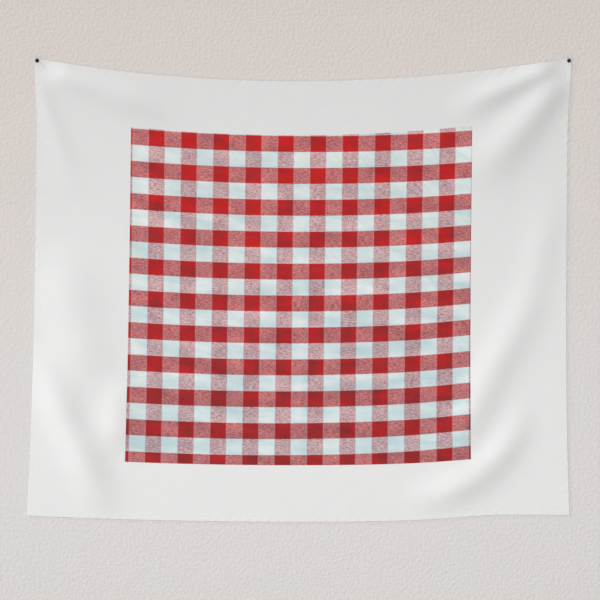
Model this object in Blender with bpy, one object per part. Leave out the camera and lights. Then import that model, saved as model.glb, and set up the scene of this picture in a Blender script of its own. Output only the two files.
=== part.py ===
"""A printed wall tapestry: one thin hemmed cloth that hangs on two push pins.

The wall is the plane y = 0 and the cloth hangs on its -Y side. +X runs along the wall and +Z is up.
The origin is on the wall, halfway between the two pins.
"""

import math

import bmesh
import bpy
import numpy as np
from mathutils import Vector

# The cloth, as cut and hemmed, before it hangs.
CLOTH_WIDTH = 1.524
CLOTH_HEIGHT = 1.295
CLOTH_THICKNESS = 0.0004
HEM_WIDTH = 0.012
HEM_THICKNESS = 2 * CLOTH_THICKNESS

# The stitching that holds the hems down.
STITCH_INSET = 0.002
THREAD_WIDTH = 0.0006
THREAD_THICKNESS = 0.0003

# How it hangs: sag of the long edges, and how far the sides draw in.
TOP_SAG = 0.0657
TOP_LOPSIDE = 0.05
BOTTOM_SAG = 0.0168
SIDE_TAKE_UP = 0.010
TOP_TAKE_UP = 0.013
WAIST_TAKE_UP = 0.0115
WAIST_DOWN = 0.15
FOOT_LET_OUT = 0.0225
ASKEW = 0.0143
CORNER_LIFT = 0.010
CORNER_LIFT_ACROSS = 0.73
CORNER_LIFT_SPREAD = 0.22

# How far it stands off the wall. The belly is half a wave, cut short at the top and at the foot.
STANDOFF = 0.003
BELLY = 0.006
BELLY_STARTS = 0.15
BELLY_SPAN = 0.70
PRESSED_RADIUS = 0.026
RELEASE = 0.22

# Push pin: a moulded head on a steel needle.
PIN_FROM_SIDE = 0.0075
PIN_FROM_TOP = 0.007
PIN_TILT = math.radians(18)
PIN_LEAN = math.radians(56)
FLANGE_RADIUS = 0.0057
GRIP_RADIUS = 0.0049
WAIST_RADIUS = 0.0026
HEAD_LENGTH = 0.0125
GRIP_THICKNESS = 0.0024
GRIP_TAPER = 0.00245
GRIP_UNDERCUT = 0.0006
FLANGE_THICKNESS = 0.0019
FLANGE_TAPER = 0.0027
FLANGE_UNDERCUT = 0.0007
TAPER_STEP = 0.0013
RIM = 0.0005
NEEDLE_RADIUS = 0.00055
NEEDLE_REACH = 0.0125
NEEDLE_BED = 0.0090
NEEDLE_POINT = 0.0028
NEEDLE_TIP = 0.0011
NEEDLE_TIP_RADIUS = 0.0003
NEEDLE_FIT = 0.00005
HOLE_RADIUS = 0.0016

# Clearances between neighbours, and where the cloth folds when it is lifted.
GAP = 0.0003
HINGE_BELOW_HEM = 0.014

# Number of cells in the cloth's grid.
COLUMNS = 36
BAND_ROWS = 3
PANEL_ROWS = 26

TURN_STEPS = 24

PANEL_BACK = HEM_THICKNESS + GAP
PANEL_FRONT = PANEL_BACK + CLOTH_THICKNESS
THREAD_BACK = PANEL_FRONT + GAP
THREAD_FRONT = THREAD_BACK + THREAD_THICKNESS

HANG_HEIGHT = CLOTH_HEIGHT * (1 - SIDE_TAKE_UP)
PIN_X = CLOTH_WIDTH / 2 * (1 - TOP_TAKE_UP) - PIN_FROM_SIDE
HINGE_Z = PIN_FROM_TOP - TOP_SAG - HEM_WIDTH - HINGE_BELOW_HEM

# Folds: start and end as (across, down), across from -1 to 1 and down from 0 to 1, half width, height.
# Each fades over half its length, and the far fade starts a little late.
FOLD_FADE = 0.5
FOLD_OVERRUN = 0.2
FOLDS = (
    ((-0.97, 0.02), (-0.72, 0.22), 0.030, 0.0055),
    ((0.97, 0.02), (0.62, 0.16), 0.026, 0.0075),
    ((0.88, 0.10), (0.66, 0.26), 0.034, 0.0040),
    ((0.80, 0.62), (0.62, 0.84), 0.034, 0.0045),
    ((0.78, 0.84), (0.40, 0.95), 0.030, 0.0050),
    ((-0.90, 0.72), (-0.74, 0.94), 0.026, 0.0040),
)

WHITE = (0.83, 0.84, 0.84)
HEM_WHITE = (0.80, 0.81, 0.81)
THREAD_WHITE = (0.88, 0.88, 0.86)
BLACK = (0.012, 0.012, 0.012)
STEEL = (0.62, 0.62, 0.64)


def clear_scene():
    for old in list(bpy.data.objects):
        bpy.data.objects.remove(old, do_unlink=True)


def finish(obj, name, colour, roughness, metallic=0.0):
    """Names the object and gives it a material of its own."""
    obj.name = name
    material = bpy.data.materials.new(name)
    material.use_nodes = True
    shader = material.node_tree.nodes["Principled BSDF"]
    shader.inputs["Base Color"].default_value = (*colour, 1)
    shader.inputs["Roughness"].default_value = roughness
    shader.inputs["Metallic"].default_value = metallic
    obj.data.materials.append(material)
    return obj


def smooth(x):
    """0 below 0, 1 above 1, and a smooth step between."""
    x = np.clip(x, 0, 1)
    return x * x * (3 - 2 * x)


# The hanging outline


def side_x(side, down):
    """The left (-1) or right (1) edge's x, where down runs from 0 at the top corners to 1 at the foot."""
    take_up = TOP_TAKE_UP + WAIST_TAKE_UP * smooth(down / WAIST_DOWN) - FOOT_LET_OUT * down**4
    return side * CLOTH_WIDTH / 2 * (1 - take_up) - ASKEW * down


def top_z(across):
    """The top edge's z, a parabola between the corners that hangs a little lower on the left."""
    return PIN_FROM_TOP - TOP_SAG * (1 - across**2) * (1 - TOP_LOPSIDE * across)


def foot_z(across):
    """The bottom edge's z, with a short stretch on the right drawn up by a fold."""
    drawn_up = CORNER_LIFT * np.exp(-(((across - CORNER_LIFT_ACROSS) / CORNER_LIFT_SPREAD) ** 2))
    return PIN_FROM_TOP - HANG_HEIGHT - BOTTOM_SAG * (1 - across**2) + drawn_up


def place(across, down):
    """A point of the wall behind (across, down), as x and z."""
    x = side_x(-1, down) + (side_x(1, down) - side_x(-1, down)) * (across + 1) / 2
    z = PIN_FROM_TOP - HANG_HEIGHT * down
    return x, z


def fold_height(x, z, start, end, half_width, height):
    """A straight ridge with rounded flanks, which rises from its start and fades past its end."""
    start_x, start_z = place(*start)
    end_x, end_z = place(*end)
    length = math.hypot(end_x - start_x, end_z - start_z)
    along_x = (end_x - start_x) / length
    along_z = (end_z - start_z) / length
    along = ((x - start_x) * along_x + (z - start_z) * along_z) / length
    off = (x - start_x) * along_z - (z - start_z) * along_x
    fade = smooth(along / FOLD_FADE) * smooth((1 + FOLD_OVERRUN - along) / FOLD_FADE)
    return height * np.exp(-((off / half_width) ** 2)) * fade


def off_wall(x, z):
    """How far the back of the hem stands off the wall at x and z."""
    down = np.clip((PIN_FROM_TOP - z) / HANG_HEIGHT, 0, 1)
    across = np.clip((x + ASKEW * down) / (CLOTH_WIDTH / 2), -1, 1)
    to_pin = np.hypot(np.abs(x) - PIN_X, z)
    released = smooth((to_pin - PRESSED_RADIUS) / RELEASE)
    swell = (1 - across**2) * np.sin(math.pi * (BELLY_STARTS + BELLY_SPAN * down))
    stand = STANDOFF + BELLY * swell
    for fold in FOLDS:
        stand = stand + fold_height(x, z, *fold)
    return stand * released


# Cloth solids


def rows_between(upper_z, lower_z, fractions, columns):
    """Grid points between two level or sagging edges: an array of rows by columns by (x, z)."""
    across = 2 * columns - 1
    upper = upper_z(across)
    lower = lower_z(across)
    z = upper + (lower - upper) * fractions[:, None]
    down = np.clip((PIN_FROM_TOP - z) / HANG_HEIGHT, 0, 1)
    left = side_x(-1, down)
    right = side_x(1, down)
    return np.stack([left + (right - left) * columns, z], axis=-1)


def grid_steps(total, edge_first, edge_last, cells):
    """Fractions from 0 to 1 with a narrow first and last cell, for the hems, and even cells between."""
    first = edge_first / total
    last = 1 - edge_last / total
    inner = np.linspace(first, last, cells + 1)
    ends = ([0.0] if edge_first else []), ([1.0] if edge_last else [])
    return np.concatenate([ends[0], inner, ends[1]])


def cloth_solid(name, points, back, front, colour, origin=(0, 0, 0), keep=None):
    """A closed sheet over a grid of (x, z) points, between two distances in front of the hanging surface.

    keep is a mask of the grid's cells, for a strip that turns a corner.
    """
    rows, columns = points.shape[:2]
    x, z = points[..., 0], points[..., 1]
    stand = off_wall(x, z)
    mesh = bmesh.new()
    skins = []
    for offset in (front, back):
        skin = {}
        for i in range(rows):
            for j in range(columns):
                at = Vector((x[i, j], -stand[i, j] - offset, z[i, j])) - Vector(origin)
                skin[i, j] = mesh.verts.new(at)
        skins.append(skin)
    outer, inner = skins
    cells = [(i, j) for i in range(rows - 1) for j in range(columns - 1) if keep is None or keep[i, j]]
    walls = {}
    for i, j in cells:
        corners = ((i, j), (i + 1, j), (i + 1, j + 1), (i, j + 1))
        mesh.faces.new([outer[c] for c in corners])
        mesh.faces.new([inner[c] for c in reversed(corners)])
        for start, end in zip(corners, corners[1:] + corners[:1]):
            if (end, start) in walls:
                del walls[end, start]
            else:
                walls[start, end] = True
    for start, end in walls:
        mesh.faces.new([outer[end], outer[start], inner[start], inner[end]])
    loose = [v for v in mesh.verts if not v.link_faces]
    bmesh.ops.delete(mesh, geom=loose, context="VERTS")
    bmesh.ops.triangulate(mesh, faces=mesh.faces[:])
    data = bpy.data.meshes.new(name)
    mesh.to_mesh(data)
    mesh.free()
    obj = bpy.data.objects.new(name, data)
    obj.location = origin
    bpy.context.collection.objects.link(obj)
    data.shade_smooth()
    data.set_sharp_from_angle(angle=math.radians(40))
    return finish(obj, name, colour, 0.85)


def hinge_level(across):
    """The straight line that the cloth folds along when its foot is lifted."""
    return np.full_like(across, HINGE_Z)


def above_hinge(across):
    return hinge_level(across) + GAP / 2


def below_hinge(across):
    return hinge_level(across) - GAP / 2


def inset_from(edge, distance):
    """The same edge moved down by a distance, as a function of across."""
    return lambda across: edge(across) - distance


def column_steps():
    return grid_steps(CLOTH_WIDTH, HEM_WIDTH, HEM_WIDTH, COLUMNS)


def side_columns(side, inner, outer):
    """The two columns of a strip that runs down one side, at two distances from that edge."""
    near = np.array([outer, inner]) / CLOTH_WIDTH
    return near if side < 0 else (1 - near)[::-1]


def hinge_front():
    """The frontmost point of the cloth along the fold line."""
    line = rows_between(hinge_level, hinge_level, np.array([0.0]), np.linspace(0, 1, 200))
    return off_wall(line[..., 0], line[..., 1]).max() + THREAD_FRONT


# The top edge, which the pins hold to the wall


def top_band_points(columns):
    """The band from the top edge down to the fold line, with the hem's depth as its first row of cells."""
    hem_line = inset_from(top_z, HEM_WIDTH)
    lower = rows_between(hem_line, above_hinge, np.linspace(0, 1, BAND_ROWS + 1), columns)
    upper = rows_between(top_z, hem_line, np.array([0.0]), columns)
    return np.concatenate([upper, lower])


def needle_hole(side):
    """A cutter for the hole that the needle makes through the cloth and its hem."""
    bpy.ops.mesh.primitive_cylinder_add(
        vertices=TURN_STEPS,
        radius=HOLE_RADIUS,
        depth=2 * NEEDLE_REACH,
        location=(side * PIN_X, 0, 0),
        rotation=(math.pi / 2, 0, 0),
    )
    cutter = bpy.context.object
    cutter.name = "left_hole" if side < 0 else "right_hole"
    cutter.hide_render = True
    cutter.display_type = "WIRE"
    return cutter


def pierce(obj, cutters):
    for cutter in cutters:
        cut = obj.modifiers.new(cutter.name, "BOOLEAN")
        cut.object = cutter


def build_top_edge():
    cutters = [needle_hole(-1), needle_hole(1)]
    points = top_band_points(column_steps())
    band = cloth_solid("top_band", points, PANEL_BACK, PANEL_FRONT, WHITE)
    turned = np.zeros((points.shape[0] - 1, points.shape[1] - 1), bool)
    turned[0] = True
    turned[:, 0] = True
    turned[:, -1] = True
    hem = cloth_solid("top_hem", points, 0, HEM_THICKNESS, HEM_WHITE, keep=turned)
    pierce(band, cutters)
    pierce(hem, cutters)
    stitch_from = HEM_WIDTH - STITCH_INSET
    row = rows_between(
        inset_from(top_z, stitch_from - THREAD_WIDTH),
        inset_from(top_z, stitch_from),
        np.array([0.0, 1.0]),
        grid_steps(CLOTH_WIDTH, stitch_from, stitch_from, COLUMNS)[1:-1],
    )
    cloth_solid("top_stitching", row, THREAD_BACK, THREAD_FRONT, THREAD_WHITE)


# The hanging part, which swings out from the fold line


def build_hanging_cloth(hinge):
    columns = column_steps()
    reach = HANG_HEIGHT + BOTTOM_SAG + HINGE_Z - PIN_FROM_TOP
    rows = grid_steps(reach, 0, HEM_WIDTH, PANEL_ROWS)
    panel = rows_between(below_hinge, foot_z, rows, columns)
    cloth_solid("cloth_panel", panel, PANEL_BACK, PANEL_FRONT, WHITE, hinge)

    foot_rows = rows[-2:]
    foot = rows_between(below_hinge, foot_z, foot_rows, columns)
    cloth_solid("bottom_hem", foot, 0, HEM_THICKNESS, HEM_WHITE, hinge)
    side_rows = rows[:-1].copy()
    side_rows[-1] -= GAP / reach
    for side, name in ((-1, "left_hem"), (1, "right_hem")):
        strip = rows_between(below_hinge, foot_z, side_rows, side_columns(side, HEM_WIDTH, 0))
        cloth_solid(name, strip, 0, HEM_THICKNESS, HEM_WHITE, hinge)

    stitch_from = HEM_WIDTH - STITCH_INSET
    thread_rows = rows[:-1].copy()
    thread_rows[-1] = 1 - (stitch_from + GAP) / reach
    for side, name in ((-1, "left_stitching"), (1, "right_stitching")):
        across = side_columns(side, stitch_from, stitch_from - THREAD_WIDTH)
        strip = rows_between(below_hinge, foot_z, thread_rows, across)
        cloth_solid(name, strip, THREAD_BACK, THREAD_FRONT, THREAD_WHITE, hinge)
    foot_line = np.array([stitch_from, stitch_from - THREAD_WIDTH])
    row = rows_between(
        below_hinge,
        foot_z,
        1 - foot_line / reach,
        grid_steps(CLOTH_WIDTH, stitch_from, stitch_from, COLUMNS)[1:-1],
    )
    cloth_solid("bottom_stitching", row, THREAD_BACK, THREAD_FRONT, THREAD_WHITE, hinge)


# Push pins


def pin_axis(side):
    """The direction a pin is pulled: out of the wall, leaning down and in towards the cloth."""
    lean_in = -side * math.sin(PIN_TILT) * math.cos(PIN_LEAN)
    lean_down = -math.sin(PIN_TILT) * math.sin(PIN_LEAN)
    return Vector((lean_in, -math.cos(PIN_TILT), lean_down))


def pin_seat(side):
    """The centre of the flange's underside, where its low rim just clears the stitching."""
    height = THREAD_FRONT + GAP + FLANGE_RADIUS * math.sin(PIN_TILT)
    axis = pin_axis(side)
    return Vector((side * PIN_X, -PANEL_FRONT / 2, 0)) + axis * ((height - PANEL_FRONT / 2) / -axis.y)


def turned(name, profile, side, colour, roughness, metallic=0.0):
    """Turns a profile of (radius, height) points about the pin's axis. It runs from the top round to the foot."""
    data = bpy.data.meshes.new(name)
    edges = [(i, i + 1) for i in range(len(profile) - 1)]
    data.from_pydata([(radius, 0, height) for radius, height in profile], edges, [])
    obj = bpy.data.objects.new(name, data)
    bpy.context.collection.objects.link(obj)
    screw = obj.modifiers.new("turn", "SCREW")
    screw.steps = TURN_STEPS
    screw.render_steps = TURN_STEPS
    screw.use_merge_vertices = True
    screw.merge_threshold = 0.00001
    screw.use_smooth_shade = True
    obj.location = pin_seat(side)
    obj.rotation_euler = pin_axis(side).to_track_quat("Z", "Y").to_euler()
    return finish(obj, name, colour, roughness, metallic)


def pin_head_profile():
    """Grip disc, waist and flange, with a bore up from the flange for the needle."""
    bore = NEEDLE_RADIUS + NEEDLE_FIT
    under_grip = HEAD_LENGTH - GRIP_THICKNESS
    waist_top = under_grip - GRIP_TAPER
    waist_foot = FLANGE_THICKNESS + FLANGE_TAPER
    return [
        (0, HEAD_LENGTH),
        (GRIP_RADIUS - RIM, HEAD_LENGTH),
        (GRIP_RADIUS, HEAD_LENGTH - RIM),
        (GRIP_RADIUS, under_grip + RIM),
        (GRIP_RADIUS - RIM, under_grip),
        (WAIST_RADIUS + GRIP_UNDERCUT, under_grip - TAPER_STEP),
        (WAIST_RADIUS, waist_top),
        (WAIST_RADIUS, waist_foot),
        (WAIST_RADIUS + FLANGE_UNDERCUT, FLANGE_THICKNESS + TAPER_STEP),
        (FLANGE_RADIUS - RIM, FLANGE_THICKNESS),
        (FLANGE_RADIUS, FLANGE_THICKNESS - RIM),
        (FLANGE_RADIUS, RIM),
        (FLANGE_RADIUS - RIM, 0),
        (bore, 0),
        (bore, NEEDLE_BED + NEEDLE_FIT),
        (0, NEEDLE_BED + NEEDLE_FIT),
    ]


def needle_profile():
    """A straight shank bedded in the head, with a long conical point."""
    return [
        (0, NEEDLE_BED),
        (NEEDLE_RADIUS, NEEDLE_BED),
        (NEEDLE_RADIUS, -NEEDLE_REACH + NEEDLE_POINT),
        (NEEDLE_TIP_RADIUS, -NEEDLE_REACH + NEEDLE_TIP),
        (0, -NEEDLE_REACH),
    ]


def build_pins():
    for side, name in ((-1, "left"), (1, "right")):
        turned(f"{name}_pin_head", pin_head_profile(), side, BLACK, 0.3)
        turned(f"{name}_pin_needle", needle_profile(), side, STEEL, 0.25, 1.0)


clear_scene()
build_top_edge()
build_hanging_cloth((0, -hinge_front(), HINGE_Z))
build_pins()
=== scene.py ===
"""The looks of a printed wall tapestry: a hemmed cloth with a red gingham square, held by two push pins.

Metres, +Z up. The wall is the plane y = 0, the cloth hangs on its -Y side, and x and z start halfway between
the pins.
"""

import math

import bmesh
import bpy
import numpy as np
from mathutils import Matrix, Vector


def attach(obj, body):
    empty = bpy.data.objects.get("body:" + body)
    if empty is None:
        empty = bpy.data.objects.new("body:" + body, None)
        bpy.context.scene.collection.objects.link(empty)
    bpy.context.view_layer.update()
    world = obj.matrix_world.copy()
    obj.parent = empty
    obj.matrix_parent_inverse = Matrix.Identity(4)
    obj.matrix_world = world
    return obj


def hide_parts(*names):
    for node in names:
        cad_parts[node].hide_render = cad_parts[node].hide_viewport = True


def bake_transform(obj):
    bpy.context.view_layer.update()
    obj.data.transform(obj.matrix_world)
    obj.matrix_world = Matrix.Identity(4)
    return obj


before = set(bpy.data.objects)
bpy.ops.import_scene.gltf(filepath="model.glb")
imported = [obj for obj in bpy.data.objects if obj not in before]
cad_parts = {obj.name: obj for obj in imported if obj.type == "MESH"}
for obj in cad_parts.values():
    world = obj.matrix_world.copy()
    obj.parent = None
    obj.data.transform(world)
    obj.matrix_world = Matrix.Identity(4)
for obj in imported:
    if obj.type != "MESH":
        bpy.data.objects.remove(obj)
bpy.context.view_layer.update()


# ----------------------------------------------------------------------------------------------------------
# The cloth
# One piece of thin smooth polyester, plain woven and printed on its face. It hangs by its two upper corners,
# so its long edges sag, its sides draw in, and soft folds run from the pins and over the lower corners.

CLOTH_WIDTH = 1.524
CLOTH_HEIGHT = 1.295
CLOTH_THICKNESS = 0.0004
COLUMNS = 230
ROWS = 196
RIM_STEP = 0.0004

# The hanging outline.
TOP_SAG = 0.0657
TOP_LOPSIDE = 0.05
BOTTOM_SAG = 0.0168
SIDE_TAKE_UP = 0.010
TOP_TAKE_UP = 0.013
WAIST_TAKE_UP = 0.0115
WAIST_DOWN = 0.15
FOOT_LET_OUT = 0.0225
ASKEW = 0.0143
CORNER_LIFT = 0.010
CORNER_LIFT_ACROSS = 0.73
CORNER_LIFT_SPREAD = 0.22
PIN_FROM_SIDE = 0.0075
PIN_FROM_TOP = 0.007
HANG_HEIGHT = CLOTH_HEIGHT * (1 - SIDE_TAKE_UP)
PIN_X = CLOTH_WIDTH / 2 * (1 - TOP_TAKE_UP) - PIN_FROM_SIDE

# How far the back of the hem stands off the wall, and the radius that the pins press flat.
STANDOFF = 0.003
BELLY = 0.005
BELLY_STARTS = 0.15
BELLY_SPAN = 0.70
PRESSED_RADIUS = 0.011
RELEASE = 0.085
LAYERS = 0.0015

# Folds. Each is a ridge: its crest's chord starts and ends at an (x, z), the crest bows out from that to its
# left, and then come the ridge's height and half width. Those from the pins start narrow, and fan out.
PIN_FOLDS = (
    ((0.79, 0.02), (0.38, -0.16), 0.0, 0.006, 0.045),
    ((0.78, 0.04), (0.42, -0.38), -0.02, 0.007, 0.07),
    ((-0.79, 0.00), (-0.34, -0.17), 0.0, 0.006, 0.05),
    ((-0.77, 0.03), (-0.62, -0.42), 0.0, 0.002, 0.04),
)
HANGING_FOLDS = (
    ((0.66, -0.60), (0.36, -1.22), 0.0, 0.006, 0.05),
    ((0.72, -0.30), (0.58, -0.90), 0.0, 0.003, 0.05),
    ((-0.70, -0.48), (-0.57, -1.00), 0.0, 0.008, 0.08),
)
CORNER_FOLDS = (
    ((0.65, -0.93), (0.24, -1.25), -0.08, 0.007, 0.045),
    ((-0.77, -0.78), (-0.52, -1.31), 0.0, 0.011, 0.05),
    ((-0.50, -0.86), (-0.54, -1.13), 0.0, 0.005, 0.05),
)
# The share of its length over which a fold fades at each end, and of its width with which a fan starts.
FOLD_FADE = 0.4
FAN_START = 0.4

# The hem's slight pucker: height, waves per metre and how far in from the edge it dies away.
PUCKER = 0.00035
PUCKER_WAVES = 34
PUCKER_REACH = 0.022
PUCKER_BEAT = (9.1, 7.3)


def smooth(x):
    """0 below 0, 1 above 1, and 3x² - 2x³ between."""
    x = np.clip(x, 0, 1)
    return x * x * (3 - 2 * x)


def hang(flat_x, flat_y):
    """Where a point of the flat cloth hangs, as x and z.

    flat_x runs across from the middle and flat_y down from the top edge. The z runs evenly from the top
    edge's parabola to the bottom edge's, and the x evenly between the two drawn-in sides at that height.
    """
    across = flat_x / (CLOTH_WIDTH / 2)
    top = PIN_FROM_TOP - TOP_SAG * (1 - across**2) * (1 - TOP_LOPSIDE * across)
    drawn_up = CORNER_LIFT * np.exp(-(((across - CORNER_LIFT_ACROSS) / CORNER_LIFT_SPREAD) ** 2))
    foot = PIN_FROM_TOP - HANG_HEIGHT - BOTTOM_SAG * (1 - across**2) + drawn_up
    z = top + (foot - top) * flat_y / CLOTH_HEIGHT
    down = np.clip((PIN_FROM_TOP - z) / HANG_HEIGHT, 0, 1)
    take_up = TOP_TAKE_UP + WAIST_TAKE_UP * smooth(down / WAIST_DOWN) - FOOT_LET_OUT * down**4
    return flat_x * (1 - take_up) - ASKEW * down, z


def fold_height(x, z, start, end, bow, height, half_width, narrow=1.0):
    """A ridge whose height falls off as exp(-(off / width)²) from a crest that bows as 4·bow·a·(1 - a).

    a is the share of the way along the chord, and off the distance from the crest. The width starts as the
    narrow share of the half width and grows evenly to all of it, and the ridge fades at its two ends.
    """
    reach = np.subtract(end, start)
    length = np.hypot(*reach)
    along_x, along_z = reach / length
    share = ((x - start[0]) * along_x + (z - start[1]) * along_z) / length
    within = np.clip(share, 0, 1)
    off = (x - start[0]) * along_z - (z - start[1]) * along_x - 4 * bow * within * (1 - within)
    width = half_width * (narrow + (1 - narrow) * within)
    fade = smooth(share / FOLD_FADE) * smooth((1 - share) / FOLD_FADE)
    return height * np.exp(-((off / width) ** 2)) * fade


def stand_off(flat_x, flat_y, x, z):
    """How far the back of the hem stands off the wall: a shallow belly, the folds, and the hem's pucker.

    All of it is pressed to nothing round the pins.
    """
    across = np.clip(flat_x / (CLOTH_WIDTH / 2), -1, 1)
    down = np.clip(flat_y / CLOTH_HEIGHT, 0, 1)
    stand = STANDOFF + BELLY * (1 - across**2) * np.sin(math.pi * (BELLY_STARTS + BELLY_SPAN * down))
    for fold in PIN_FOLDS:
        stand = stand + fold_height(x, z, *fold, narrow=FAN_START)
    for fold in HANGING_FOLDS + CORNER_FOLDS:
        stand = stand + fold_height(x, z, *fold)
    from_edge = np.minimum(CLOTH_WIDTH / 2 - np.abs(flat_x), np.minimum(flat_y, CLOTH_HEIGHT - flat_y))
    wave = np.sin(2 * math.pi * PUCKER_WAVES * (x - z)) * np.sin(PUCKER_BEAT[0] * x + PUCKER_BEAT[1] * z)
    stand = stand + PUCKER * wave * np.exp(-from_edge / PUCKER_REACH)
    to_pin = np.hypot(np.abs(x) - PIN_X, z)
    return stand * smooth((to_pin - PRESSED_RADIUS) / RELEASE)


def on_cloth(flat_x, flat_y, height):
    """Points at a height above the back of the hem, over a place on the flat cloth."""
    x, z = hang(flat_x, flat_y)
    return np.stack([x, -stand_off(flat_x, flat_y, x, z) - height, z], axis=-1)


def grid_faces(rows, columns, wrap_rows=False, wrap_columns=False):
    """Four-cornered faces over a grid of points, joined round where it wraps, facing the viewer."""
    index = np.arange(rows * columns).reshape(rows, columns)
    if wrap_rows:
        index = np.vstack([index, index[:1]])
    if wrap_columns:
        index = np.hstack([index, index[:, :1]])
    corners = [index[:-1, :-1], index[1:, :-1], index[1:, 1:], index[:-1, 1:]]
    return np.stack(corners, axis=-1).reshape(-1, 4)


def new_piece(name, points, faces, *materials):
    """An object at the origin with these points and faces, shaded smooth."""
    mesh = bpy.data.meshes.new(name)
    mesh.from_pydata(points.reshape(-1, 3), [], faces)
    mesh.shade_smooth()
    piece = bpy.data.objects.new(name, mesh)
    bpy.context.scene.collection.objects.link(piece)
    for material in materials:
        mesh.materials.append(material)
    return piece


def flat_map(piece, flat_x, flat_y):
    """A UV map in metres on the flat cloth, across from the middle and down from the top."""
    mesh = piece.data
    corner = np.empty(len(mesh.loops), np.int32)
    mesh.loops.foreach_get("vertex_index", corner)
    places = np.stack([flat_x.ravel(), flat_y.ravel()], axis=-1)[corner]
    mesh.uv_layers.new(name="flat").data.foreach_set("uv", places.astype(np.float32).ravel())


class Wire:
    """A shader node's output, on which sums are written as on a number."""

    def __init__(self, finish, socket):
        self.finish = finish
        self.socket = socket

    def maths(self, operation, *others):
        return self.finish.maths(operation, self, *others)

    def __add__(self, other):
        return self.maths("ADD", other)

    def __sub__(self, other):
        return self.maths("SUBTRACT", other)

    def __rsub__(self, other):
        return self.finish.maths("SUBTRACT", other, self)

    def __mul__(self, other):
        return self.maths("MULTIPLY", other)

    def __truediv__(self, other):
        return self.maths("DIVIDE", other)

    __radd__ = __add__
    __rmul__ = __mul__

    def sine(self):
        return self.maths("SINE")

    def clamped(self):
        return self.maths("MAXIMUM", 0.0).maths("MINIMUM", 1.0)


class Finish:
    """A material round one Principled shader, whose constant values are set when it is made."""

    def __init__(self, name, **constants):
        self.material = bpy.data.materials.new(name)
        self.material.use_nodes = True
        self.tree = self.material.node_tree
        self.shader = self.tree.nodes["Principled BSDF"]
        for label, value in constants.items():
            self.shader.inputs[label.replace("_", " ").title().replace("Ior", "IOR")].default_value = value

    def node(self, kind, settings=None, sockets=None, output=0):
        """A node of a kind. Its settings are set first, and then each socket gets a value or a wire."""
        made = self.tree.nodes.new(kind)
        for label, value in (settings or {}).items():
            setattr(made, label, value)
        for label, value in (sockets or {}).items():
            if isinstance(value, Wire):
                self.tree.links.new(value.socket, made.inputs[label])
            else:
                made.inputs[label].default_value = value
        return Wire(self, made.outputs[output])

    def maths(self, operation, *values):
        return self.node("ShaderNodeMath", {"operation": operation}, dict(enumerate(values)))

    def mix(self, share, first, second, blend="MIX"):
        """One colour turning into another as share goes from 0 to 1. Colours are linear light."""
        settings = {"data_type": "RGBA", "blend_type": blend}
        first, second = [c if isinstance(c, Wire) else (*c, 1) for c in (first, second)]
        return self.node("ShaderNodeMix", settings, {0: share, 6: first, 7: second}, output=2)

    def flat_place(self):
        """The place on the flat cloth, across and down in metres."""
        place = self.node("ShaderNodeUVMap", {"uv_map": "flat"})
        parts = [self.node("ShaderNodeSeparateXYZ", {}, {0: place}, output=i) for i in (0, 1)]
        return place, *parts

    def noise(self, place, scale, detail=2.0, roughness=0.5, turn=0.0, stretch=(1, 1)):
        """Noise from about 0 to 1 with a grain of 1/scale metres, drawn out by stretch and then turned."""
        sockets = {"Vector": place, "Rotation": (0, 0, turn), "Scale": (*stretch, 1)}
        place = self.node("ShaderNodeMapping", {"vector_type": "TEXTURE"}, sockets)
        sockets = {"Vector": place, "Scale": scale, "Detail": detail, "Roughness": roughness}
        return self.node("ShaderNodeTexNoise", {"noise_dimensions": "2D"}, sockets)

    def feed(self, label, wire):
        self.tree.links.new(wire.socket, self.shader.inputs[label])

    def bump(self, height, strength, distance):
        sockets = {"Height": height, "Strength": strength, "Distance": distance}
        self.feed("Normal", self.node("ShaderNodeBump", {}, sockets))


def dye(red, green, blue):
    """A colour given in steps from 0 to 255 as a screen shows it, as linear light."""
    steps = np.array([red, green, blue]) / 255
    linear = np.where(steps <= 0.04045, steps / 12.92, ((steps + 0.055) / 1.055) ** 2.4)
    return tuple(float(part) for part in linear)


# The print: a square of enlarged gingham, whose checks wander a little from the cloth's own grain.
PRINT_LEFT = -0.4915
PRINT_RIGHT = 0.4872
PRINT_TOP = 0.1585
PRINT_FOOT = 1.1285
CHECK_ACROSS = 0.0921
CHECK_DOWN = 0.0936
WEAVE = 0.0005


# The middles of one white column and one white row on the flat cloth, and how the checks drift from its
# grain: the rows bow less than the cloth does and close up to the right, and the columns close up to the
# foot.
WHITE_COLUMN = 0.0
WHITE_ROW = 0.700
WHITE_PHASE = 0.75
PRINT_MIDDLE = 0.65
ROW_BOW = 0.007
ROW_WEDGE = 0.005
COLUMN_WEDGE = 0.003

# Soft dents in the cloth that was printed from: the middle, the half width and half height, and the depth.
PRINT_DENTS = (
    (0.23, 0.79, 0.14, 0.012, 0.45),
    (-0.41, 1.06, 0.05, 0.030, 0.55),
    (-0.37, 0.30, 0.05, 0.020, 0.35),
    (0.02, 0.95, 0.012, 0.50, 0.14),
    (0.00, 0.80, 0.008, 0.60, -0.16),
)


def dent(place_x, place_y, middle_x, middle_y, half_width, half_height, depth):
    """A soft spot that fades as exp(-d²), where d is the distance in half sizes."""
    off_x = (place_x - middle_x) / half_width
    off_y = (place_y - middle_y) / half_height
    return (0 - off_x * off_x - off_y * off_y).maths("EXPONENT") * depth


def stripe(place, period, edge):
    """1 in the first half of each period and 0 in the second, with edges that soft."""
    from_middle = (place - period / 4).maths("PINGPONG", period / 2)
    return ((period / 4 - from_middle) / edge + 0.5).clamped()


def lines(place, spacing, reach):
    """1 on lines that far apart, falling evenly to 0 at a reach from them."""
    return (1 - place.maths("PINGPONG", spacing / 2) / reach).clamped()


def border(place, low, high, edge):
    """1 between two places and 0 outside them."""
    return ((place - low) / edge).clamped() * ((high - place) / edge).clamped()


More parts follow.
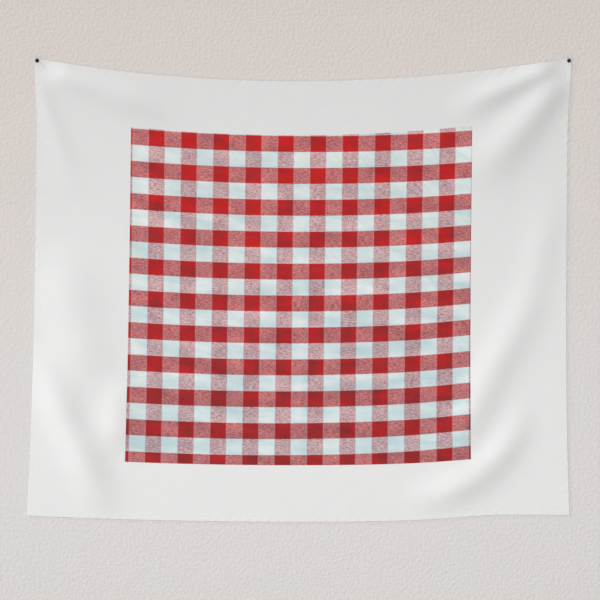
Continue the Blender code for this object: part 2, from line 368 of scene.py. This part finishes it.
def weave_height(place_x, place_y, pitch):
    """A plain weave: each yarn's round back, over and under in turn."""
    across = (place_x * (math.pi / pitch)).sine()
    down = (place_y * (math.pi / pitch)).sine()
    return across * down


def cloth_finish(name, printed, ghost):
    """The cloth's finish. printed is the strength of the gingham's dye, and ghost how far it has faded."""
    finish = Finish(name, roughness=0.82, specular_ior_level=0.25, sheen_weight=0.10, sheen_roughness=0.45)
    place, flat_x, flat_y = finish.flat_place()
    across = flat_x * 2
    down = (flat_y - PRINT_MIDDLE) * 2
    column_place = flat_x - WHITE_COLUMN + WHITE_PHASE * CHECK_ACROSS + across * down * COLUMN_WEDGE
    row_drift = across * down * ROW_WEDGE + across * across * down * ROW_BOW
    row_place = flat_y - WHITE_ROW + WHITE_PHASE * CHECK_DOWN + row_drift
    grain = finish.noise(place, 700, 2)
    fray = (grain - 0.5) * 0.0016
    columns = stripe(column_place + fray, CHECK_ACROSS, 0.0022)
    rows = stripe(row_place + fray, CHECK_DOWN, 0.0022)

    speckle = finish.noise(place, 330, 2, 0.6)
    streaks = finish.noise(place, 230, 2, 0.5, 0.1, (2.5, 0.7))
    blotch = finish.noise(place, 20, 2, 0.5)
    mottle = ((speckle - 0.5) * 2.3 + (streaks - 0.5) * 2.0 + (blotch - 0.5) * 0.7 + 0.5).clamped()
    white = finish.mix(((blotch - 0.3) * 2.5).clamped(), dye(205, 217, 218), dye(219, 225, 224))
    rose = finish.mix(mottle, dye(166, 120, 125), dye(218, 187, 190))
    pink = finish.mix(mottle, dye(158, 75, 78), dye(212, 133, 134))
    depth = (mottle * 0.5 + blotch * 1.6 - 0.55 - down * 0.26).clamped()
    deep = finish.mix(depth, dye(143, 36, 40), dye(193, 23, 25))
    fringe = lines(column_place, CHECK_ACROSS / 2, 0.0022) * 0.35
    red_row = finish.mix(fringe, finish.mix(columns, pink, deep), dye(222, 142, 138))
    checks = finish.mix(rows, finish.mix(columns, white, rose), red_row)
    checks = finish.mix(lines(row_place + 0.0012, CHECK_DOWN, 0.0020) * 0.35, checks, dye(232, 196, 188))

    wrinkles = finish.noise(place, 9, 3, 0.5, 0.12, (1.4, 0.32))
    bent = finish.noise(place, 9, 1, 0.4, -0.8, (1, 9))
    creases = lines(bent, 0.085, 0.009) * ((across - down) * 0.3 + (blotch - 0.5) * 5).clamped()
    sides = lines(row_place - CHECK_DOWN / 2 + 0.0015, CHECK_DOWN, 0.0020)
    dents = sum(dent(flat_x, flat_y, *each) for each in PRINT_DENTS)
    shade = 0.5 - down * 0.26 + (wrinkles - 0.5) * 2.0 + (speckle - 0.5) * 0.4
    shade = (shade - creases * 0.55 - sides * 0.25 - dents).clamped()
    light_and_dark = finish.mix(shade, (0.74, 0.85, 0.88), (1.06, 1.045, 1.035))
    checks = finish.mix(1.0, checks, light_and_dark, "MULTIPLY")
    selvage = border(flat_x, PRINT_RIGHT - 0.0030, PRINT_RIGHT + 0.01, 0.0008)
    selvage = selvage * (rows * 0.6 + mottle * 0.25)
    checks = finish.mix(selvage.clamped(), checks, dye(92, 20, 34))

    inside = border(flat_x + fray * 0.3, PRINT_LEFT, PRINT_RIGHT, 0.0012)
    inside = inside * border(flat_y + fray * 0.3, PRINT_TOP, PRINT_FOOT, 0.0012)
    tone = finish.mix(((blotch - 0.3) * 2.5).clamped(), dye(220, 221, 222), dye(222, 222, 221))
    finish.feed("Base Color", finish.mix(inside * (printed - ghost), tone, checks))
    finish.bump(weave_height(flat_x, flat_y, WEAVE) + grain * 0.5, 0.25, 0.0001)
    return finish.material


def spaced(first, last, steps):
    """Even steps, and one narrow step more at each end, which holds the shading of the turned rim."""
    return np.concatenate([[first], np.linspace(first + RIM_STEP, last - RIM_STEP, steps + 1), [last]])


flat_x = spaced(-CLOTH_WIDTH / 2 + LAYERS / 2, CLOTH_WIDTH / 2 - LAYERS / 2, COLUMNS)
flat_y = spaced(LAYERS / 2, CLOTH_HEIGHT - LAYERS / 2, ROWS)
flat_x, flat_y = np.meshgrid(flat_x, flat_y)
cloth = new_piece(
    "cloth",
    on_cloth(flat_x, flat_y, LAYERS),
    grid_faces(ROWS + 3, COLUMNS + 3),
    cloth_finish("printed face", 1.0, 0.0),
    cloth_finish("back of the cloth", 1.0, 0.86),
)
flat_map(cloth, flat_x, flat_y)
thickness = cloth.modifiers.new("thickness", "SOLIDIFY")
thickness.thickness = CLOTH_THICKNESS
thickness.offset = -1
thickness.material_offset = 1
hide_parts("top_band", "cloth_panel")


# ----------------------------------------------------------------------------------------------------------
# The turned hem
# The same cloth, folded over twice to the back all the way round: the outer fold makes the edge that
# shows, and the inner one hides the raw edge. The corners are mitred.

HEM_WIDTH = 0.012
RAW_EDGE = 0.002
OUTER_FOLD = LAYERS / 2
INNER_FOLD = 0.000475
FOLD_ARC = 7
HEM_ACROSS = 210
HEM_DOWN = 178


def hem_profile():
    """The hem cut across, as a closed outline of (distance in from the edge, height above its back).

    Two half circles of cloth, one at the edge and one at the hem's inner side, joined by straight layers.
    """
    turn = np.linspace(0, math.pi, FOLD_ARC)

    def arc(centre_in, centre_height, radius, side):
        return np.stack([centre_in + side * radius * np.sin(turn), centre_height + radius * np.cos(turn)], -1)

    outer = arc(OUTER_FOLD, OUTER_FOLD, OUTER_FOLD, -1)
    under = arc(HEM_WIDTH - INNER_FOLD, INNER_FOLD, INNER_FOLD, 1)[::-1]
    inside_under = arc(HEM_WIDTH - INNER_FOLD, INNER_FOLD, INNER_FOLD - CLOTH_THICKNESS, 1)
    inside_outer = arc(OUTER_FOLD, OUTER_FOLD, OUTER_FOLD - CLOTH_THICKNESS, -1)[::-1]
    raw = np.array([[RAW_EDGE, 2 * INNER_FOLD], [RAW_EDGE, 2 * INNER_FOLD - CLOTH_THICKNESS]])
    return np.concatenate([outer, under, raw, inside_under, inside_outer])


def round_the_edge(inset, across_steps, down_steps):
    """Places on the flat cloth, one row for each inset from its edge, going round all four sides once.

    Each side runs from corner to corner of the rectangle at that inset, so the corners are mitres.
    """
    half = CLOTH_WIDTH / 2 - inset[:, None]
    top = inset[:, None]
    foot = CLOTH_HEIGHT - inset[:, None]
    over = np.linspace(-1, 1, across_steps + 1)[None, :-1]
    along = np.linspace(0, 1, down_steps + 1)[None, :-1]
    sides_x = [half * over, half + 0 * along, -half * over, -half + 0 * along]
    sides_y = [top + 0 * over, top + (foot - top) * along, foot + 0 * over, foot + (top - foot) * along]
    return np.hstack(sides_x), np.hstack(sides_y)


def hem_finish():
    """White cloth without the print, with the same weave. Along the outer fold its colour is painted dark
    grey: painted shade for the contact shadow at the cloth's edge.
    """
    finish = Finish("turned hem", roughness=0.84, specular_ior_level=0.25, sheen_weight=0.10)
    place, flat_x, flat_y = finish.flat_place()
    tone = finish.noise(place, 60, 3, 0.6)
    white = finish.mix(tone, dye(217, 218, 219), dye(224, 224, 224))
    half_width, half_height = CLOTH_WIDTH / 2 - OUTER_FOLD, CLOTH_HEIGHT / 2 - OUTER_FOLD
    past_x = (flat_x.maths("ABSOLUTE") - half_width) / OUTER_FOLD
    past_y = ((flat_y - CLOTH_HEIGHT / 2).maths("ABSOLUTE") - half_height) / OUTER_FOLD
    # Painted shade: the outer fold's strip is dyed dark grey for the contact shadow at the edge, and to dull
    # the lit rim.
    painted_edge_shade = past_x.maths("MAXIMUM", past_y).clamped()
    finish.feed("Base Color", finish.mix(painted_edge_shade, white, dye(104, 103, 103)))
    finish.bump(weave_height(flat_x, flat_y, WEAVE), 0.3, 0.0001)
    return finish.material


profile = hem_profile()
flat_x, flat_y = round_the_edge(profile[:, 0], HEM_ACROSS, HEM_DOWN)
hem = new_piece(
    "turned_hem",
    on_cloth(flat_x, flat_y, profile[:, 1][:, None] + 0 * flat_x),
    grid_faces(*flat_x.shape, wrap_rows=True, wrap_columns=True),
    hem_finish(),
)
flat_map(hem, flat_x, flat_y)
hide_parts("top_hem", "left_hem", "right_hem", "bottom_hem")


# ----------------------------------------------------------------------------------------------------------
# The lockstitching
# One row of machine stitches near the hem's inner side, white spun polyester thread. Every stitch shows
# on the face, and the bobbin thread's on the back, and each dives into the cloth at its two ends.

STITCH_INSET = 0.002
STITCH_FROM_EDGE = HEM_WIDTH - STITCH_INSET
STITCH_LENGTH = 0.003
STITCH_SPAN = 0.0027
THREAD_WIDTH = 0.0005
THREAD_RISE = 0.00028
PLY_PITCH = 0.0004
STITCH_RINGS = 4
STITCH_SIDES = 6


def stitch_shape():
    """One stitch as a lens of thread: rings whose size goes as the root of 1 - s² along it, and two points.

    It returns (along, across, up) from -1 to 1, and the triangles.
    """
    along = np.linspace(-1, 1, STITCH_RINGS + 2)[1:-1]
    turn = np.arange(STITCH_SIDES) * 2 * math.pi / STITCH_SIDES
    size = np.sqrt(1 - along**2)[:, None]
    rings = np.stack([along[:, None] + 0 * turn, size * np.cos(turn), size * np.sin(turn)], -1).reshape(-1, 3)
    points = np.concatenate([rings, [[-1, 0, 0], [1, 0, 0]]])
    quads = grid_faces(STITCH_RINGS, STITCH_SIDES, wrap_columns=True)
    first, last = len(rings), len(rings) + 1
    ring = np.arange(STITCH_SIDES)
    after = (ring + 1) % STITCH_SIDES
    tail = (STITCH_RINGS - 1) * STITCH_SIDES
    near_cap = np.stack([after, 0 * ring + first, ring], -1)
    far_cap = np.stack([tail + ring, 0 * ring + last, tail + after], -1)
    return points, np.concatenate([quads[:, [0, 2, 1]], quads[:, [0, 3, 2]], near_cap, far_cap])


def stitch_row(name, height, side, finish):
    """A row of stitches round the cloth, at a height above the hem's back. side is 1 in front, -1 behind."""
    shape, triangles = stitch_shape()
    half = CLOTH_WIDTH / 2 - STITCH_FROM_EDGE
    top, foot = STITCH_FROM_EDGE, CLOTH_HEIGHT - STITCH_FROM_EDGE
    corners = np.array([(-half, top), (half, top), (half, foot), (-half, foot), (-half, top)])
    centres, headings = [], []
    for start, end in zip(corners[:-1], corners[1:]):
        length = np.hypot(*(end - start))
        count = round(length / STITCH_LENGTH)
        share = (np.arange(count)[:, None] + 0.5) / count
        centres.append(start + (end - start) * share)
        headings.append(np.tile((end - start) / length, (count, 1)))
    centres, headings = np.concatenate(centres), np.concatenate(headings)
    beside = np.stack([-headings[:, 1], headings[:, 0]], -1)
    sway = np.random.default_rng(7).normal(0, 0.00005, len(centres))
    along = shape[:, 0][None, :, None] * STITCH_SPAN / 2 * headings[:, None, :]
    across = (shape[:, 1][None, :, None] * THREAD_WIDTH / 2 + sway[:, None, None]) * beside[:, None, :]
    places = centres[:, None, :] + along + across
    rise = height + side * shape[:, 2][None, :] * THREAD_RISE + 0 * places[..., 0]
    faces = (triangles[None] + np.arange(len(centres))[:, None, None] * len(shape)).reshape(-1, 3)
    piece = new_piece(name, on_cloth(places[..., 0], places[..., 1], rise), faces, finish)
    tidy = bmesh.new()
    tidy.from_mesh(piece.data)
    bmesh.ops.recalc_face_normals(tidy, faces=tidy.faces)
    tidy.to_mesh(piece.data)
    tidy.free()
    flat_map(piece, places[..., 0], places[..., 1])
    return piece


def thread_finish():
    """Twisted white thread: slanting plies across the stitch. Its colour is painted darker in the grooves
    between the plies and lighter on their crowns: painted shade.
    """
    finish = Finish("white thread", roughness=0.6, specular_ior_level=0.35, sheen_weight=0.2)
    _, flat_x, flat_y = finish.flat_place()
    plies = ((flat_x + flat_y) * (2 * math.pi / PLY_PITCH)).sine()
    # Painted shade: the colour darkens where the plies' bump is lowest, in the grooves.
    finish.feed("Base Color", finish.mix(plies * 0.5 + 0.5, dye(214, 214, 212), dye(232, 232, 229)))
    finish.bump(plies, 0.3, 0.00005)
    return finish.material


thread = thread_finish()
stitches = stitch_row("lockstitches", LAYERS, 1, thread)
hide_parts("top_stitching", "left_stitching", "right_stitching", "bottom_stitching")
bobbin_stitches = stitch_row("bobbin_stitches", 0.0, -1, thread)


# ----------------------------------------------------------------------------------------------------------
# The push pins
# Two pins of one kind: a glossy black moulded grip with a waist and a flange, on a steel needle that goes
# through the corner of the cloth into the wall. The weight of the cloth has pulled both over, heads down
# and inwards.

PIN_TILT = math.radians(18)
PIN_LEAN = math.radians(56)
FLANGE_RADIUS = 0.0057
GRIP_RADIUS = 0.0049
WAIST_RADIUS = 0.0026
HEAD_LENGTH = 0.0125
GRIP_THICKNESS = 0.0024
FLANGE_THICKNESS = 0.0019
RIM = 0.0005
NEEDLE_RADIUS = 0.00055
NEEDLE_REACH = 0.0125
NEEDLE_BED = 0.0090
NEEDLE_POINT = 0.0028
NEEDLE_FIT = 0.00005
PIN_CLEARANCE = 0.0024
PIN_STEPS = 48
CLOTH_MIDDLE = 0.00075


def pin_frame(side):
    """The flange's centre, the pin's axis out of the wall, and two directions square to it."""
    lean_in = -side * math.sin(PIN_TILT) * math.cos(PIN_LEAN)
    lean_down = -math.sin(PIN_TILT) * math.sin(PIN_LEAN)
    axis = Vector((lean_in, -math.cos(PIN_TILT), lean_down))
    height = PIN_CLEARANCE + FLANGE_RADIUS * math.sin(PIN_TILT)
    seat = Vector((side * PIN_X, -CLOTH_MIDDLE, 0)) + axis * ((height - CLOTH_MIDDLE) / -axis.y)
    right = axis.orthogonal().normalized()
    return seat, axis, right, axis.cross(right)


def turned(name, profile, side, material):
    """A profile of (radius, height), from the axis's top round to its foot, turned about the pin's axis."""
    seat, axis, right, up = (np.array(part) for part in pin_frame(side))
    turn = np.arange(PIN_STEPS)[None, :, None] * 2 * math.pi / PIN_STEPS
    radius, height = np.array(profile).T[..., None, None]
    points = seat + axis * height + radius * (right * np.cos(turn) + up * np.sin(turn))
    piece = new_piece(name, points, grid_faces(len(profile), PIN_STEPS, wrap_columns=True), material)
    tidy = bmesh.new()
    tidy.from_mesh(piece.data)
    bmesh.ops.remove_doubles(tidy, verts=tidy.verts, dist=1e-7)
    bmesh.ops.recalc_face_normals(tidy, faces=tidy.faces)
    tidy.to_mesh(piece.data)
    tidy.free()
    piece.data.set_sharp_from_angle(angle=math.radians(50))
    return piece


def quarter(centre_radius, centre_height, start, end):
    """Five points of a rim's rounding, from one angle to another."""
    turn = np.radians(np.linspace(start, end, 5))
    return [(centre_radius + RIM * math.cos(a), centre_height + RIM * math.sin(a)) for a in turn]


def head_profile():
    """A crowned grip disc, a waist hollowed as a cosine, a flange, and the needle's bore."""
    bore = NEEDLE_RADIUS + NEEDLE_FIT
    under_grip = HEAD_LENGTH - GRIP_THICKNESS
    crown = [(0, HEAD_LENGTH), (GRIP_RADIUS * 0.5, HEAD_LENGTH - 0.00006)]
    grip = quarter(GRIP_RADIUS - RIM, HEAD_LENGTH - RIM, 90, 0)
    grip += quarter(GRIP_RADIUS - RIM, under_grip + RIM, 0, -90)
    drop = np.linspace(0, 1, 13)[1:-1]
    upper = GRIP_RADIUS - 2 * RIM
    lower = FLANGE_RADIUS - 2 * RIM
    rest = upper + (lower - upper) * drop
    hollow = WAIST_RADIUS + (rest - WAIST_RADIUS) * (0.5 + 0.5 * np.cos(2 * math.pi * drop)) ** 1.6
    waist = list(zip(hollow, under_grip + (FLANGE_THICKNESS - under_grip) * drop))
    flange = quarter(FLANGE_RADIUS - RIM, FLANGE_THICKNESS - RIM, 90, 0)
    flange += quarter(FLANGE_RADIUS - RIM, RIM, 0, -90)
    bed = NEEDLE_BED + NEEDLE_FIT
    return crown + grip + waist + flange + [(bore, 0), (bore, bed), (0, bed)]


def needle_profile():
    """A straight shank and a long point that narrows as a square root."""
    share = np.linspace(0, 1, 9)[1:-1]
    point = list(zip(NEEDLE_RADIUS * np.sqrt(1 - share), -NEEDLE_REACH + NEEDLE_POINT * (1 - share)))
    shank = [(0, NEEDLE_BED), (NEEDLE_RADIUS, NEEDLE_BED), (NEEDLE_RADIUS, -NEEDLE_REACH + NEEDLE_POINT)]
    return shank + point + [(0, -NEEDLE_REACH)]


def plastic_finish():
    """Black moulded polystyrene, polished by the mould, with faint handling marks."""
    finish = Finish("black pin plastic", specular_ior_level=0.5)
    place = finish.node("ShaderNodeTexCoord", {}, {}, output="Object")
    marks = finish.noise(place, 900, 3, 0.6)
    finish.feed("Base Color", finish.mix(marks, dye(14, 14, 15), dye(30, 30, 32)))
    finish.feed("Roughness", marks * 0.2 + 0.22)
    finish.bump(marks, 0.1, 0.00002)
    return finish.material


def steel_finish():
    """Drawn and polished steel wire."""
    finish = Finish("needle steel", metallic=1.0)
    place = finish.node("ShaderNodeTexCoord", {}, {}, output="Object")
    drawn = finish.noise(place, 4000, 2, 0.5)
    finish.feed("Base Color", finish.mix(drawn, (0.50, 0.50, 0.52), (0.66, 0.66, 0.67)))
    finish.feed("Roughness", drawn * 0.15 + 0.18)
    return finish.material


plastic = plastic_finish()
steel = steel_finish()
for side, name in ((-1, "left"), (1, "right")):
    head = turned(f"{name}_pin_grip", head_profile(), side, plastic)
    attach(head, f"{name}_pin")
    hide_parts(f"{name}_pin_head")
    needle = turned(f"{name}_pin_steel", needle_profile(), side, steel)
    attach(needle, f"{name}_pin")
    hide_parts(f"{name}_pin_needle")


# ----------------------------------------------------------------------------------------------------------
# Baking the cloth
# The pins hold the top edge. The cloth, the hem and both rows of stitches get their placement baked into
# their points.

for piece in (cloth, hem, stitches, bobbin_stitches):
    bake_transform(piece)


# ----------------------------------------------------------------------------------------------------------
# The wall, the floor, the light and the camera
# A pale painted plaster wall that shows only from the front, a grey floor, soft daylight from the left, and a
# camera square to the wall.

WALL_BEHIND = 0.0010
FLOOR_Z = -1.75


def panel(name, corners, finish):
    """A flat stage piece."""
    piece = new_piece(name, np.array(corners, float), [(0, 1, 2, 3)], finish)
    return piece


def wall_finish():
    """Painted plaster, which is clear from behind so that the cloth's back can be seen."""
    finish = Finish("wall plaster", roughness=0.9, specular_ior_level=0.2)
    place = finish.node("ShaderNodeTexCoord", {}, {}, output="Object")
    place = finish.node("ShaderNodeMapping", {}, {"Vector": place, "Rotation": (math.pi / 2, 0, 0)})
    down = finish.node("ShaderNodeSeparateXYZ", {}, {0: place}, output=1) * 1.1
    cloud = finish.noise(place, 4, 3, 0.6)
    lumps = finish.noise(place, 110, 2, 0.5)
    pits = finish.noise(place, 260, 2, 0.6)
    # The cloud mottles the plaster's own tone. The dye is also lighter and warmer at the top than towards the
    # foot: painted light that makes up for the lamps lighting the top less.
    lightened_top_paint = finish.mix(cloud, dye(214, 209, 204), dye(220, 210, 206))
    cooler = finish.mix(cloud, dye(208, 206, 204), dye(212, 207, 206))
    finish.feed("Base Color", finish.mix(down.clamped(), lightened_top_paint, cooler))
    finish.bump(lumps + pits * 0.15, 0.55, 0.0014)
    behind = finish.node("ShaderNodeNewGeometry", {}, {}, output="Backfacing")
    clear = finish.node("ShaderNodeBsdfTransparent")
    plaster = Wire(finish, finish.shader.outputs[0])
    both = finish.node("ShaderNodeMixShader", {}, {0: behind, 1: plaster, 2: clear})
    finish.tree.links.new(both.socket, finish.tree.nodes["Material Output"].inputs[0])
    return finish.material


def floor_finish():
    """A plain grey floor."""
    finish = Finish("grey floor", roughness=0.7, specular_ior_level=0.3)
    place = finish.node("ShaderNodeTexCoord", {}, {}, output="Object")
    cloud = finish.noise(place, 3, 3)
    finish.feed("Base Color", finish.mix(cloud, dye(134, 131, 126), dye(141, 138, 133)))
    return finish.material


wall = panel(
    "wall",
    [(-4, WALL_BEHIND, 2), (-4, WALL_BEHIND, FLOOR_Z), (4, WALL_BEHIND, FLOOR_Z), (4, WALL_BEHIND, 2)],
    wall_finish(),
)
wall.visible_shadow = False
wall.visible_diffuse = False
wall.visible_glossy = False
wall.visible_transmission = False
panel("floor", [(-6, -6, FLOOR_Z), (6, -6, FLOOR_Z), (6, 6, FLOOR_Z), (-6, 6, FLOOR_Z)], floor_finish())


def lamp(name, kind, energy, place, aim, **settings):
    """A lamp at a place, turned towards an aim."""
    data = bpy.data.lights.new(name, kind)
    data.energy = energy
    for label, value in settings.items():
        setattr(data, label, value)
    piece = bpy.data.objects.new(name, data)
    piece.location = place
    piece.rotation_euler = (Vector(aim) - Vector(place)).to_track_quat("-Z", "Y").to_euler()
    bpy.context.scene.collection.objects.link(piece)


CLOTH_CENTRE = (-0.0087, -0.005, -0.6709)
ORIGIN = (0, 0, 0)
WINDOW = (-1.65, -1.0, 1.35)
lamp("window", "SUN", 3.6, WINDOW, ORIGIN, angle=math.radians(35), use_shadow=False)
lamp("window's edge", "SUN", 0.7, WINDOW, ORIGIN, angle=math.radians(25))
lamp("behind", "SUN", 2.4, (2.5, 3.0, 2.0), ORIGIN, angle=math.radians(40))
lamp("low bounce", "AREA", 7.3, (-0.6, -1.2, -1.0), (-0.6, 0, -1.0), shape="RECTANGLE", size=4, size_y=0.6)

world = bpy.data.worlds.new("daylight")
world.use_nodes = True
world.node_tree.nodes["Background"].inputs[0].default_value = (1.0, 1.0, 1.0, 1)
world.node_tree.nodes["Background"].inputs[1].default_value = 0.22
bpy.context.scene.world = world
bpy.context.scene.view_settings.view_transform = "Standard"

VIEW_WIDTH = 1.678
LENS = 85
camera_data = bpy.data.cameras.new("camera")
camera_data.lens = LENS
camera_data.sensor_width = 36
camera = bpy.data.objects.new("camera", camera_data)
distance = VIEW_WIDTH * LENS / camera_data.sensor_width
camera.location = Vector(CLOTH_CENTRE) - Vector((0, distance, 0))
camera.rotation_euler = (math.pi / 2, 0, 0)
bpy.context.scene.collection.objects.link(camera)
bpy.context.scene.camera = camera
